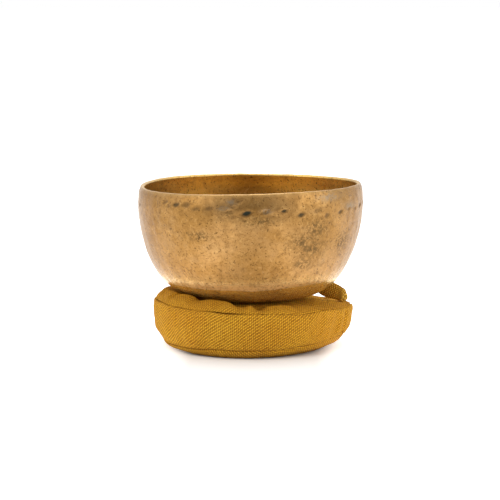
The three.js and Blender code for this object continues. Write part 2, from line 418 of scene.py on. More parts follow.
def punch(angle, height):
    """How deep each point lies in a punch mark, and how dark it is, for the outer wall."""
    depth = np.zeros(angle.shape)
    dark = np.zeros(angle.shape)
    for degrees, level, size, shade in mark_list():
        centre = math.radians(degrees)
        across = (np.mod(angle - centre + math.pi, 2 * math.pi) - math.pi) * BOWL_RADIUS
        up = height - level
        cos, sin = math.cos(PUNCH_LEAN), math.sin(PUNCH_LEAN)
        x = (across * cos + up * sin) / (PUNCH_HALF_LENGTH * size)
        y = (-across * sin + up * cos) / (PUNCH_HALF_HEIGHT * size)
        away = np.sqrt(x * x + y * y + 0.35 * np.abs(x * y))
        depth = np.maximum(depth, 1 - smooth(away, 0.35, 1.15))
        dark = np.maximum(dark, shade * (1 - smooth(away, 0.45, 1.35)))
    return depth, dark


# Patches on the wall: (degrees from the front, height on the bowl, half width in degrees, half height).
# The last list darkens the inner wall.
STAINS = [
    (28, 41, 9, 5), (35, 48, 7, 6), (33, 36, 9, 5), (30, 27, 6, 4), (56, 38, 6, 7), (4, 54, 8, 3),
    (-26, 45, 8, 3), (110, 46, 14, 9), (158, 30, 10, 12), (196, 50, 16, 6), (247, 34, 9, 13),
]
PALE_SMEARS = [
    (-9.5, 66.0, 2.6, 1.8), (-13.0, 62.5, 3.0, 1.3), (8, 60.4, 2.6, 1.5), (43, 66.5, 7, 2.4),
    (60, 60, 5, 2),
]
# The two patches straight in front, at -3 and 0 degrees, are painted shade for a darker reflection in the
# middle of the wall; the others are uneven tone.
BROWN = [
    (-3, 60, 20, 8), (0, 44, 17, 8), (-68, 40, 12, 26), (31, 38, 14, 12), (70, 48, 14, 12),
    (128, 40, 22, 18), (200, 38, 24, 12), (262, 46, 18, 16),
]
# Inner patches: the one at 181 degrees, straight across from the viewer, is painted shade for a darker
# reflection there; the others are darker patches.
DARKER_INSIDE = [(181, 64, 15, 20), (-104, 62, 18, 20), (100, 62, 12, 20), (0, 40, 40, 20)]


def patches(angle, height, spots):
    """1 in the middle of each patch, fading to 0 round it."""
    total = np.zeros(angle.shape)
    for degrees, level, wide, tall in spots:
        across = angle_from(angle, degrees) / wide
        total = np.maximum(total, np.exp(-(across**2) - ((height - level) / tall) ** 2))
    return total


def bowl_section():
    """The wall's closed line as (radius, height), how far each point is inside, and the lip's row."""
    steps = (60, 80, 24)
    # The rows lie closer together where the punch marks are.
    outer = resample(bowl_line(0, *steps), lambda z: 0.55 if 44 < z < 68.5 else 1.6)
    inner = resample(bowl_line(WALL, *steps), lambda z: 1.5)[::-1]
    lip_centre = (outer[-1] + inner[0]) / 2
    lip_turn = SHOULDER_TURN + np.linspace(0, math.pi, 9)[1:-1]
    lip = lip_centre + WALL / 2 * 1.05 * np.stack([np.cos(lip_turn), np.sin(lip_turn)], 1)
    base = np.stack([np.linspace(1.5, outer[0, 0], 14)[:-1], np.zeros(13)], 1)
    floor = np.stack([np.linspace(inner[-1, 0], 1.5, 16)[1:], np.full(15, WALL)], 1)
    before = len(base) + len(outer)
    after = len(inner) + len(floor)
    inside = np.concatenate([np.zeros(before), np.linspace(0, 1, len(lip)), np.ones(after)])
    return np.vstack([base, outer, lip, inner, floor]), inside, before + len(lip) // 2


def bowl_relief(angle, height, along, inside, depth, groove):
    """How far the hammer, the punch and the scraper have moved each point out of the smooth wall."""
    outside = 1 - inside
    broad = dents(angle, along, math.radians(9), 9.0, 3.1)
    fine = dents(angle + 0.05, along, math.radians(4.6), 5.0, 8.7)
    hammered = 0.10 * (broad - 0.5) + 0.05 * (fine - 0.5)
    push = hammered - 0.42 * depth - 0.04 * groove
    faces = [(37, 0.028, 0.4), (53, 0.022, 2.6), (23, 0.03, 1.2), (71, 0.012, 5)]
    push = push + wave(angle + 0.002 * height, faces) * outside
    scraped = 0.02 * np.sin(height * 2.3)
    return push + scraped * inside


def bowl_place(angle, line, push, outside):
    """Each point of the bowl: the wall with its relief, not quite round, and with an uneven rim."""
    radius = line[:, :1] + np.zeros_like(angle)
    height = line[:, 1:] + np.zeros_like(angle)
    tangent = np.gradient(line, axis=0)
    tangent /= np.hypot(*tangent.T)[:, None]
    calm = smooth(radius, 4, 12)
    r = radius + tangent[:, 1:] * push * calm
    z = height - tangent[:, :1] * push * calm

    up = height / BOWL_HEIGHT
    out_of_round = wave(angle, [(2, 0.22, 0.6), (3, 0.16, 2.0), (5, 0.10, 4.0), (7, 0.05, 1.0)])
    flare = 0.8 * smooth(up, 0.9, 1.0) * np.sin(angle) ** 2
    r = r + out_of_round * up + 0.35 * outside * calm + flare
    left_swell = np.exp(-((np.degrees(angle) - 270) / 45) ** 2 - ((height - 22) / 12) ** 2)
    r = r + 0.6 * outside * left_swell
    rim_lift = wave(angle, [(1, 0.38, 2.85), (2, 0.49, -1.45), (3, 0.18, 0.4), (9, 0.05, 2.0)]) - 0.2
    z = z + rim_lift * smooth(up, 0.5, 1.0)
    x = r * np.sin(angle)
    y = -r * np.cos(angle)
    z = z + RIM_SLOPE * up * x
    return np.stack([x + BOWL_X, y, z + BOWL_FOOT], -1)


def make_bowl():
    line, side, lip_row = bowl_section()
    # Angles run from the front, positive to the right.
    turn = np.linspace(0, 2 * math.pi, BOWL_COLUMNS, endpoint=False)
    angle = turn[None, :] + np.zeros((len(line), 1))
    inside = side[:, None] + np.zeros_like(angle)
    outside = 1 - inside
    height = line[:, 1:] + np.zeros_like(angle)
    run = np.concatenate([[0], np.cumsum(np.hypot(*np.diff(line, axis=0).T))])
    along = run[:, None] + np.zeros_like(angle)
    depth, dark = punch(angle, height)
    band = outside * smooth(height, 46, 50)
    groove = np.exp(-(((height - SCRIBED_LINE - 0.5 * np.cos(angle * 2 + 1)) / 0.7) ** 2)) * outside
    push = bowl_relief(angle, height, along, inside, depth * band, groove)
    bowl = grid_mesh("bowl_metal", bowl_place(angle, line, push, outside), cap_start=True, cap_end=True)

    browned = patches(angle, height, BROWN) * outside + patches(angle, height, DARKER_INSIDE) * inside
    # The lip is made lighter all round and most on the left-front side, facing the left lamp: that side is
    # a painted highlight.
    lip_highlight = smooth(wave(angle, [(1, 1.0, 1.0)]), -0.6, 0.6) * 0.7 + 0.3
    point_value(bowl, "mark", dark * band)
    point_value(bowl, "stain", patches(angle, height, STAINS) * outside)
    point_value(bowl, "brown", browned)
    point_value(bowl, "smear", patches(angle, height, PALE_SMEARS) * outside)
    point_value(bowl, "groove", groove)
    point_value(bowl, "inside", inside)
    point_value(bowl, "height", height)
    point_value(bowl, "lip", lip_highlight * np.exp(-(((along - run[lip_row]) / 1.5) ** 2)))
    bowl.data.materials.append(bronze_material())
    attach(bowl, "bowl")
    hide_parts("bowl")


def outer_zones(n, place, clouds, height):
    """Shares of the heel, the pale ring round it with its strength, and the foot below that: painted
    reflections, of the bright floor on the heel and the ring, and of the yellow cushion on the foot.
    """
    outside = n.math("SUBTRACT", 1.0, n.attribute("inside"))
    heel = n.times(n.spread(height, 22, 11), outside)
    # The ring and the foot reach higher towards the right, and clouds make their edge uneven.
    right = n.math("MAXIMUM", n.split(place)["X"], 0.0)
    rise = n.math("MULTIPLY_ADD", right, -60.0, height)
    uneven = n.math("MULTIPLY_ADD", clouds, 3.0, n.math("SUBTRACT", rise, 1.5))
    ring = n.times(n.times(n.spread(uneven, 17, 12), n.spread(uneven, 9.9, 10.7)), outside)
    foot = n.times(n.spread(uneven, 10.7, 9.9), outside)
    return heel, ring, n.spread(right, 0.005, 0.035, 0.7, 0.1), foot


def inner_colour(n, colour, place, brown, height):
    """The inner wall is yellower, darker low down as painted shade in the hollow, and ringed by the
    scraper.
    """
    inside = n.attribute("inside")
    colour = n.mix(n.times(inside, 0.9), colour, rgb(252, 210, 112))
    # Painted shade: darker low down on the inner wall.
    low = n.times(n.spread(height, 67, 58), inside)
    colour = n.mix(n.times(low, 0.55), colour, rgb(168, 118, 40))
    colour = n.mix(n.times(n.times(brown, inside), 0.75), colour, rgb(120, 86, 34))
    rings = n.noise(n.scaled(place, (0.12, 0.12, 1)), 260, 2, 0.5)
    ringed = n.times(n.spread(rings, 0.45, 0.7), inside)
    return n.mix(n.times(ringed, 0.3), colour, rgb(160, 114, 48))


def bronze_material():
    n = Nodes("aged_bronze")
    place = n.place()
    clouds = n.noise(place, 30, 4, 0.6)
    streaks = n.noise(n.scaled(place, (1, 1, 0.45)), 110, 5, 0.65, 0.6)
    mottle = n.noise(place, 290, 7, 0.8, 0.4)
    fine = n.noise(place, 520, 5, 0.75, 0.3)
    speck = n.noise(place, 760, 3, 0.7)
    spots = n.noise(place, 340, 2, 0.5)
    grain = n.noise(place, 1500, 2, 0.6)
    tint = n.noise(n.scaled(place, (1, 1, 1.3)), 55, 3, 0.6)
    height = n.attribute("height")
    inside = n.attribute("inside")
    outside = n.math("SUBTRACT", 1.0, inside)

    colour = n.mix(n.spread(clouds, 0.35, 0.65), rgb(186, 142, 86), rgb(172, 127, 67))
    colour = n.mix(n.times(n.spread(tint, 0.5, 0.72), 0.35), colour, rgb(166, 134, 92))
    # Above the scribed line the wall is browner: painted shade, for the darker room that the upper wall
    # reflects.
    upper = n.times(n.spread(n.math("MULTIPLY_ADD", clouds, 8.0, height), 53, 57), outside)
    colour = n.mix(n.times(upper, 0.28), colour, rgb(144, 106, 52))
    brown = n.times(n.attribute("brown"), n.spread(clouds, 0.25, 0.6, 0.55, 1.0))
    colour = n.mix(n.times(brown, 0.55), colour, rgb(138, 97, 42))
    heel, ring, ring_strength, foot = outer_zones(n, place, clouds, height)
    # Painted reflection: a lighter heel, a pale ring for the reflected floor and a yellow foot for the
    # reflected cushion.
    colour = n.mix(n.times(heel, 0.5), colour, rgb(222, 180, 108))
    colour = n.mix(n.times(ring, ring_strength), colour, rgb(246, 208, 146))
    colour = n.mix(n.times(foot, 0.8), colour, rgb(232, 196, 104))
    colour = inner_colour(n, colour, place, brown, height)

    calm = n.math("MULTIPLY_ADD", inside, -0.45, 1.0)
    colour = n.mix(n.times(n.spread(streaks, 0.48, 0.70), 0.35), colour, rgb(138, 98, 48))
    colour = n.mix(n.times(n.times(n.spread(mottle, 0.50, 0.64), calm), 0.55), colour, rgb(122, 86, 42))
    colour = n.mix(n.times(n.spread(mottle, 0.48, 0.32), 0.45), colour, rgb(216, 172, 108))
    stain = n.times(n.attribute("stain"), n.spread(fine, 0.42, 0.58))
    colour = n.mix(n.times(stain, 0.85), colour, rgb(96, 74, 42))
    pits = n.math("MAXIMUM", n.spread(speck, 0.57, 0.66), n.spread(spots, 0.69, 0.75))
    colour = n.mix(n.times(pits, 0.75), colour, rgb(80, 54, 24))
    pale = n.times(n.attribute("smear"), n.spread(fine, 0.38, 0.55))
    colour = n.mix(n.times(pale, 0.65), colour, rgb(136, 128, 112))
    colour = n.mix(n.times(n.attribute("groove"), 0.12), colour, rgb(118, 84, 44))
    mark = n.attribute("mark")
    patina = n.times(mark, n.spread(fine, 0.25, 0.45, 0.75, 1.0))
    colour = n.mix(patina, colour, n.mix(n.spread(mark, 0.6, 0.9), rgb(92, 68, 38), rgb(44, 46, 36)))
    # Painted highlight on the lip, strongest on the left-front side.
    colour = n.mix(n.times(n.attribute("lip"), 0.55), colour, rgb(226, 192, 134))
    n.link(colour, n.shader.inputs["Base Color"])

    # The painted ring is less metallic, so its pale colour shows.
    n.link(n.math("MULTIPLY_ADD", ring, -0.2, 0.8), n.shader.inputs["Metallic"])
    n.shader.inputs["Specular IOR Level"].default_value = 0.3
    rough = n.spread(streaks, 0.3, 0.75, 0.27, 0.38)
    rough = n.math("ADD", rough, n.times(n.math("ADD", patina, stain), 0.2))
    n.link(n.math("MULTIPLY_ADD", heel, -0.1, rough), n.shader.inputs["Roughness"])
    relief = n.math("ADD", mottle, n.times(pits, -0.7))
    n.link(n.bump(grain, 0.15, 0.0001, n.bump(relief, 0.30, 0.0003)), n.shader.inputs["Normal"])
    return n.material


# ---- cushion ----

COLUMNS = 512  # round each panel
SIM_STEP = 2  # the simulated cloth has every second column


def cushion_angles():
    """Angles from +X, anticlockwise seen from above. The front is at -90 degrees."""
    return np.linspace(0, 2 * math.pi, COLUMNS, endpoint=False)


def low_share(angle):
    """1 at the cushion's low side and -1 opposite."""
    return np.cos(angle - LOW_ANGLE)


def top_seam_height(angle):
    swell = 1.7 * hump(angle, -42, 15) + 1.5 * hump(angle, -13, 13)
    swell += -1.9 * hump(angle, 45, 24) + 0.5 * hump(angle, 178, 14)
    uneven = wave(angle, [(5, 0.2, 1.0), (9, 0.15, 0.2), (17, 0.12, 2.0)])
    return TOP_SEAM - 2.4 * low_share(angle) + swell + uneven


def top_seam_radius(angle):
    return TOP_SEAM_RADIUS + 0 * angle


def bottom_seam_height(angle):
    swell = 0.9 * hump(angle, -30, 14)
    uneven = wave(angle, [(4, 0.3, 2.0), (7, 0.2, 0.5), (13, 0.15, 1.0)])
    return BOTTOM_SEAM + 2.2 * low_share(angle) + swell + uneven


def bottom_seam_radius(angle):
    return BOTTOM_SEAM_RADIUS + 0.9 * hump(angle, -90, 40) - 1.6 * hump(angle, 178, 42)


# Gathers that run up from the top seam: (degrees, depth at the crest, width on each side in degrees).
GATHERS = [
    (-87, 3.6, 3.2, 6.0), (-97, 1.6, 8.0, 5.0), (-131, 1.5, 3.5, 7.0), (-152, 0.7, 3.0, 5.0),
    (-58, 0.7, 5.0, 4.0), (-30, 0.8, 3.0, 4.0), (22, 1.2, 4.0, 3.0), (74, 1.2, 3.0, 6.0),
    (98, 0.9, 6.0, 3.0), (127, 1.6, 3.0, 6.0), (158, 0.9, 5.0, 4.0), (-171, 0.8, 3.0, 3.0),
]


def gathers(angle):
    total = 0 * angle
    for degrees, depth, before, after in GATHERS:
        away = angle_from(angle, degrees)
        total += depth * np.exp(-((away / np.where(away < 0, before, after)) ** 2))
    return total


def crest_height(angle):
    puffs = -0.4 * hump(angle, -100, 8) + 1.0 * hump(angle, -66, 14) - 2.2 * hump(angle, 38, 28)
    puffs += 0.7 * hump(angle, 172, 18)
    uneven = wave(angle, [(3, 0.25, 1.0), (8, 0.2, 2.0)])
    return CREST - 5.0 * low_share(angle) + puffs + uneven - gathers(angle)


def seam_gape(angle):
    """Where the top seam is pulled a little open, from 0 to 1."""
    front = hump(angle, -105, 8) + 0.9 * hump(angle, -167, 9) + 0.5 * hump(angle, -6, 7)
    return front + 0.5 * hump(angle, 120, 10)


def catmull(controls, count):
    """Points along a smooth line through controls[k, column, 2]."""
    before = 2 * controls[:1] - controls[1:2]
    after = 2 * controls[-1:] - controls[-2:-1]
    controls = np.concatenate([before, controls, after])
    spans = len(controls) - 3
    t = np.linspace(0, spans, count)
    k = np.minimum(t.astype(int), spans - 1)
    u = (t - k)[:, None, None]
    a, b, c, d = (controls[k + i] for i in range(4))
    square = 2 * a - 5 * b + 4 * c - d
    cube = 3 * b - a - 3 * c + d
    return 0.5 * (2 * b + (c - a) * u + square * u**2 + cube * u**3)


def from_controls(rows):
    """Control lines round the cushion, from rows of (radius, height)."""
    angle = cushion_angles()
    return np.stack([np.stack([r + 0 * angle, z + 0 * angle], -1) for r, z in rows])


def even_rows(line, count):
    """The same lines, with their points evenly far apart along the line."""
    step = np.linalg.norm(np.diff(line, axis=0), axis=-1).mean(1)
    run = np.concatenate([[0], np.cumsum(step)])
    marks = np.linspace(0, run[-1], count)
    k = np.clip(np.searchsorted(run, marks) - 1, 0, len(run) - 2)
    u = ((marks - run[k]) / (run[k + 1] - run[k]))[:, None, None]
    return line[k] * (1 - u) + line[k + 1] * u


def placed(line):
    """Points in space from (radius, height) at each column."""
    angle = cushion_angles()
    return np.stack([line[..., 0] * np.cos(angle), line[..., 0] * np.sin(angle), line[..., 1]], -1)


def top_lines():
    """The top panel's skin from the flat under the bowl out to the seam, and its turned edge."""
    angle = cushion_angles()
    seam = top_seam_height(angle)
    crest = crest_height(angle)
    flat = 34 - 8 * low_share(angle)
    deep = gathers(angle)
    gape = 0.5 * seam_gape(angle)
    right = 0.3 * hump(angle, -10, 26)
    skin = catmull(from_controls([
        (flat, SEAT),
        ((flat + 50.2) / 2, (SEAT + crest) / 2 - 1.4 * hump(angle, -90, 40)),
        (50.2 + 3.2 * hump(angle, 178, 26), crest),
        (54.9 + 0.8 * hump(angle, 176, 24), seam + 0.82 * (crest - seam) + 0.1 * deep),
        (58.4, seam + 0.5 * (crest - seam) + 0.2 * deep),
        (60.6 + right, seam + 0.65),
        (60.9 + right - 2 * gape, seam + 0.05 + gape),
    ]), 160)
    edge = from_controls([(TOP_SEAM_RADIUS, seam + 0.1), (TUCK, seam + 0.05)])
    return even_rows(skin, 84), edge


def band_lines():
    """The side band's upper turned edge, its skin down to the bottom seam, and its lower turned edge."""
    angle = cushion_angles()
    top = top_seam_height(angle)
    bottom = bottom_seam_height(angle)

    def up(share):
        return bottom + share * (top - bottom)

    gape = 0.5 * seam_gape(angle)
    foot = bottom_seam_radius(angle)
    right = 0.4 * hump(angle, -10, 26)
    skin = catmull(from_controls([
        (61.1 + right - 2 * gape, top - 0.06 - gape),
        (61.9 + right, top - 0.65),
        (62.3, up(0.8)),
        (61.7, up(0.52)),
        (60.6, up(0.26)),
        (foot + 1.2, up(0.09)),
        (foot + 0.6, bottom + 0.5),
        (foot, bottom + 0.05),
    ]), 160)
    skin = even_rows(skin, 76)
    rise = (skin[..., 1] - bottom) / (top - bottom)
    middle = np.clip(rise * (1 - rise) * 4, 0, 1)
    fold = -1.7 * hump(angle, -23, 2.2) + 0.9 * hump(angle, -29, 3.5) + 0.7 * hump(angle, -14, 7)
    sag = 0.5 * hump(angle, -58, 12) - 0.4 * hump(angle, -80, 16)
    sag += 0.5 * hump(angle, 140, 18) - 0.5 * hump(angle, 105, 10)
    skin[..., 0] += fold * np.sqrt(middle) + sag * middle
    start = from_controls([(TUCK, top - 0.3), (TOP_SEAM_RADIUS + 0.1, top - 0.1)])
    end = from_controls([(foot - 0.5, bottom + 0.1), (foot - 2.0, bottom + 0.15)])
    return start, skin, end


def bottom_lines():
    """The bottom panel's turned edge, then its skin from the seam in to the flat underside."""
    angle = cushion_angles()
    seam = bottom_seam_height(angle)
    away = angle_from(angle, -102)
    front = np.exp(-((away / np.where(away < 0, 60, 42)) ** 2))
    foot = bottom_seam_radius(angle)
    flat = 46.0 + 8.5 * front
    skin = catmull(from_controls([
        (foot - 0.5, seam - 0.5),
        (0.5 * foot + 27.8 + 1.4 * front, seam * 0.8),
        (53.8 + 4.2 * front, seam * 0.45),
        (flat + 3.2 - 0.7 * front, seam * 0.2),
        (flat, UNDERSIDE),
    ]), 120)
    edge = from_controls([(foot - 2.0, seam - 0.15), (foot - 0.8, seam - 0.2)])
    return edge, even_rows(skin, 56)


def cloth_settings(cloth, frames):
    """Cloth a little too big for its seams, so that it gathers beside them when it is blown up."""
    setup = cloth.modifiers.new("cloth", "CLOTH")
    setup.settings.quality = 5
    setup.settings.mass = 0.3
    setup.settings.tension_stiffness = 12
    setup.settings.compression_stiffness = 12
    setup.settings.shear_stiffness = 5
    setup.settings.bending_stiffness = 0.02
    setup.settings.use_pressure = True
    setup.settings.uniform_pressure_force = 2.0
    setup.settings.shrink_min = -0.05
    setup.settings.vertex_group_mass = "held"
    setup.settings.effector_weights.gravity = 0
    setup.point_cache.frame_end = frames


def hold_seams(cloth, parts):
    """The first and last row of each part lie in a seam, and hold still."""
    columns = parts[0].shape[1]
    held = cloth.vertex_groups.new(name="held")
    row = 0
    for part in parts:
        for k in (0, len(part) - 1):
            first = (row + k) * columns
            held.add(list(range(first, first + columns)), 1.0, "REPLACE")
        row += len(part)


def vertex_places(mesh):
    """Every vertex of a mesh, in metres, in one row."""
    flat = np.empty(len(mesh.vertices) * 3)
    mesh.vertices.foreach_get("co", flat)
    return flat


def simulate(sections):
    """Blows the three skins up as one sewn cloth, and gives how far each of their points moves."""
    frames = 20
    row_counts = (18, 15, 11)
    coarse = [np.linspace(0, len(part) - 1, n) for part, n in zip(sections, row_counts)]
    coarse = [rows.round().astype(int) for rows in coarse]
    parts = [part[rows][:, ::SIM_STEP] for part, rows in zip(sections, coarse)]
    cloth = grid_mesh("cloth_work", np.concatenate(parts))
    cloth.data.flip_normals()
    hold_seams(cloth, parts)
    cloth_settings(cloth, frames)
    scene = bpy.context.scene
    for number in range(1, frames + 1):
        scene.frame_set(number)
    done = cloth.evaluated_get(bpy.context.evaluated_depsgraph_get())
    moved = (vertex_places(done.data) - vertex_places(cloth.data)) / MM
    scene.frame_set(1)
    moved = moved.reshape(-1, COLUMNS // SIM_STEP, 3)
    bpy.data.objects.remove(cloth)
    ends = np.cumsum([len(part) for part in parts])
    own_moves = np.split(moved, ends[:-1])
    return [spread_out(own, rows, len(skin)) for own, rows, skin in zip(own_moves, coarse, sections)]


def spread_out(moved, rows, count):
    """Moves of the coarse cloth, without their broad part, capped, on the fine grid."""
    wide = 17  # columns that the broad part is averaged over
    most = 1.8
    kernel = np.hanning(wide + 2)[1:-1]
    kernel /= kernel.sum()
    looped = np.concatenate([moved[:, -(wide // 2):], moved, moved[:, : wide // 2]], 1)
    broad = [[np.convolve(row[:, axis], kernel, "valid") for axis in range(3)] for row in looped]
    detail = moved - 0.75 * np.stack(broad).transpose(0, 2, 1)
    size = np.linalg.norm(detail, axis=-1, keepdims=True)
    detail = detail * np.minimum(1, most / np.maximum(size, 1e-6))
    fine_rows = np.arange(count)
    columns = np.arange(COLUMNS) / SIM_STEP
    ring = np.arange(detail.shape[1] + 1)
    out = np.empty((count, COLUMNS, 3))
    for axis in range(3):
        closed = np.concatenate([detail[..., axis], detail[:, :1, axis]], 1)
        across = np.stack([np.interp(columns, ring, line) for line in closed])
        for k in range(COLUMNS):
            out[:, k, axis] = np.interp(fine_rows, rows, across[:, k])
    for _ in range(2):
        out = (np.roll(out, 1, 1) + 2 * out + np.roll(out, -1, 1)) / 4
        out[1:-1] = (out[:-2] + 2 * out[1:-1] + out[2:]) / 4
    return out


def make_cushion():
    top_skin, top_edge = top_lines()
    band_start, band_skin, band_end = band_lines()
    bottom_edge, bottom_skin = bottom_lines()
    skins = [placed(top_skin), placed(band_skin), placed(bottom_skin)]
    moves = simulate(skins)
    print("cloth moved, mm:", [round(float(np.abs(m).max()), 2) for m in moves])
    shares = (0.8, 0.8, 0.3)
    skins = [skin + share * move for skin, move, share in zip(skins, moves, shares)]
    skins[2][..., 2] = np.maximum(skins[2][..., 2], UNDERSIDE)
    make_filling(skins)

    outwards = np.linspace(0.03, 1, 12)[:-1, None, None]
    dip = np.array([0, 0, SEAT])
    top = np.concatenate([dip + (skins[0][:1] - dip) * outwards, skins[0], placed(top_edge)])
    cushion_piece("cushion_top", top, unrolled(top), "top_panel")

    band = np.concatenate([placed(band_start), skins[1], placed(band_end)])
    drop = np.linalg.norm(np.diff(band, axis=0), axis=-1)
    run = np.concatenate([np.zeros((1, COLUMNS)), -np.cumsum(drop, 0)])
    around = np.broadcast_to(cushion_angles() * BAND_RADIUS, run.shape)
    cushion_piece("cushion_band", band[::-1], np.stack([around, run], -1)[::-1], "side_band")

    middle = np.array([0, 0, 0.2])
    inner_bottom = middle + (skins[2][-1:] - middle) * outwards[::-1]
    bottom = np.concatenate([placed(bottom_edge), skins[2], inner_bottom])[::-1]
    cushion_piece("cushion_bottom", bottom, unrolled(bottom), "bottom_panel", turned=True)


def unrolled(disc):
    """Where each point of a round panel lies on its flat cut, from rows that go out from the centre."""
    angle = cushion_angles()
    step = np.linalg.norm(np.diff(disc, axis=0), axis=-1)
    first = np.hypot(disc[:1, :, 0], disc[:1, :, 1])
    run = first + np.concatenate([0 * first, np.cumsum(step, 0)])
    return np.stack([run * np.cos(angle), run * np.sin(angle)], -1)


def cushion_piece(name, place, cloth, node, turned=False):
    """One panel, with its place on the flat cloth for the weave. The round ones close in the middle."""
    piece = grid_mesh(name, place, cap_start=node != "side_band")
    if turned:
        piece.data.flip_normals()
    point_vector(piece, "cloth", np.concatenate([cloth, 0 * cloth[..., :1]], -1))
    piece.data.materials.append(cotton_material())
    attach(piece, "cushion")
    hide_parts(node)


# ---- threads ----


def tube(name, path, radius, closed, sides=8):
    """A round cord along points, in millimetres, with a radius for each point."""
    if closed:
        along = np.roll(path, -1, 0) - np.roll(path, 1, 0)
    else:
        along = np.gradient(path, axis=0)
    along /= np.linalg.norm(along, axis=1)[:, None]
    out = np.cross(along, [0, 0, 1.0])
    out[np.linalg.norm(out, axis=1) < 0.2] = [1.0, 0, 0]
    out /= np.linalg.norm(out, axis=1)[:, None]
    up = np.cross(out, along)
    turn = np.linspace(0, 2 * math.pi, sides, endpoint=False)[None, :, None]
    rim = np.cos(turn) * out[:, None] + np.sin(turn) * up[:, None]
    ring = path[:, None] + radius[:, None, None] * rim
    if closed:
        ring = np.concatenate([ring, ring[:1]])
    return grid_mesh(name, ring, cap_start=not closed, cap_end=not closed)


def stitches(run, pitch):
    """A stitch line's radius along its length: it dips under the cloth between two stitches."""
    return 0.16 + 0.14 * np.abs(np.sin(np.pi * run / pitch)) ** 0.5


def seam_thread(name, radius, height, node):
    angle = np.linspace(0, 2 * math.pi, 1600, endpoint=False)
    reach = radius(angle)
    path = np.stack([reach * np.cos(angle), reach * np.sin(angle), height(angle)], 1)
    # Both seams have the same number of stitches.
    thread = tube(name, path, stitches(angle * BOTTOM_SEAM_RADIUS, SEAM_STITCH), closed=True)
    finish_thread(thread, node)


def finish_thread(thread, node):
    thread.data.materials.append(yarn_material())
    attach(thread, "cushion")
    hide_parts(node)


def bottom_thread_radius(angle):
    return bottom_seam_radius(angle) - 0.6


def make_threads():
    seam_thread("top_seam_stitches", top_seam_radius, top_seam_height, "top_seam_thread")
    seam_thread("bottom_seam_stitches", bottom_thread_radius, bottom_seam_height, "bottom_seam_thread")
    angle = np.full(120, JOIN_ANGLE)
    share = np.linspace(0.06, 0.94, 120)
    low = bottom_seam_height(angle)
    high = top_seam_height(angle)
    height = low + share * (high - low)
    radius = np.interp(share, [0, 0.3, 0.55, 0.8, 1.0], [59.2, 60.0, 60.6, 60.9, 60.0])
    path = np.stack([radius * np.cos(angle), radius * np.sin(angle), height], 1)
    thread = tube("band_join_stitches", path, stitches(height, SEAM_STITCH), closed=False)
    finish_thread(thread, "band_join_thread")


@functools.cache
def yarn_material():
    n = Nodes("sewing_yarn")
    twist = n.noise(n.scaled(n.place(), (1, 1, 0.4)), 1800, 2)
    colour = n.mix(n.spread(twist, 0.3, 0.7), rgb(120, 78, 14), rgb(168, 116, 32))
    n.link(colour, n.shader.inputs["Base Color"])
    n.shader.inputs["Roughness"].default_value = 0.85
    n.shader.inputs["Specular IOR Level"].default_value = 0.2
    n.link(n.bump(twist, 0.6, 0.0002), n.shader.inputs["Normal"])
    return n.material


# ---- strap loop ----

# Along the strap: (x, y, lower edge's height, upper edge's height), from its front end to its back end.
STRAP = [
    (58.1, 12.0, 24.3, 27.6), (57.6, 13.0, 24.3, 30.2), (56.6, 14.4, 24.8, 32.2), (55.0, 16.3, 25.4, 33.0),
    (52.8, 18.9, 25.6, 34.0), (50.2, 22.2, 25.8, 34.8), (47.6, 26.0, 26.2, 35.8), (45.4, 29.0, 27.2, 36.8),
    (43.6, 32.4, 29.4, 38.2), (40.6, 36.4, 31.0, 39.0), (37.8, 40.2, 31.2, 39.2), (35.2, 43.8, 29.6, 37.4),
    (32.4, 47.6, 26.0, 33.4), (30.4, 50.3, 24.2, 29.6), (29.6, 51.4, 23.4, 26.6),
]


def strap_line():
    """The strap's middle line with its edges' heights, and the sideways direction at each point."""
    line = catmull(np.array(STRAP)[:, None, :], 150)[:, 0]
    along = np.gradient(line[:, :2], axis=0)
    along /= np.linalg.norm(along, axis=1)[:, None]
    return line, np.stack([along[:, 1], -along[:, 0]], 1)


def make_strap():
    """A folded strip on edge: nearly flat faces, round edges, plumper where it is sewn in."""
    line, out = strap_line()
    turn = np.linspace(0, 2 * math.pi, 48, endpoint=False)
    across = np.sign(np.cos(turn)) * np.abs(np.cos(turn)) ** 0.75
    thick = np.sign(np.sin(turn)) * np.abs(np.sin(turn)) ** 0.8
    run = np.linspace(0, 1, len(line))[:, None]
    half = (line[:, 3] - line[:, 2])[:, None] / 2
    middle = (line[:, 3] + line[:, 2])[:, None] / 2
    plump = STRAP_THICKNESS / 2 * (1 - 0.25 * (across[None] * 0.8) ** 2)
    plump = plump * (1 + 0.10 * np.sin(run * 41 + 2 * across[None]) + 0.08 * np.sin(run * 23 + 1))
    plump = plump * (1 + 0.7 * np.exp(-((run - 0.08) / 0.1) ** 2))
    ends = np.minimum(1, np.minimum(run, 1 - run) / 0.03 + 0.35)
    lean = -2.8 * np.sin(np.pi * run) ** 0.5 * across[None]
    sideways = thick[None] * plump * ends - lean
    ring = np.stack([
        line[:, :1] + out[:, :1] * sideways,
        line[:, 1:2] + out[:, 1:] * sideways,
        middle + across[None] * half,
    ], -1)
    strap = grid_mesh("strap", ring, cap_start=True, cap_end=True)
    length = STRAP_LENGTH * run + 0 * across[None]
    other_face = 31.7  # so that the two faces show different parts of the weave
    width = across[None] * half + np.where(thick < 0, other_face, 0)[None]
    point_vector(strap, "cloth", np.stack([length, width, 0 * width], -1))
    # Painted light: the strap's cloth is made lighter than the cushion's, though the bowl shades it.
    point_value(strap, "strap_painted_light", np.ones_like(length))
    strap.data.materials.append(cotton_material())
    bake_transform(strap)
    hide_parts("strap_loop")


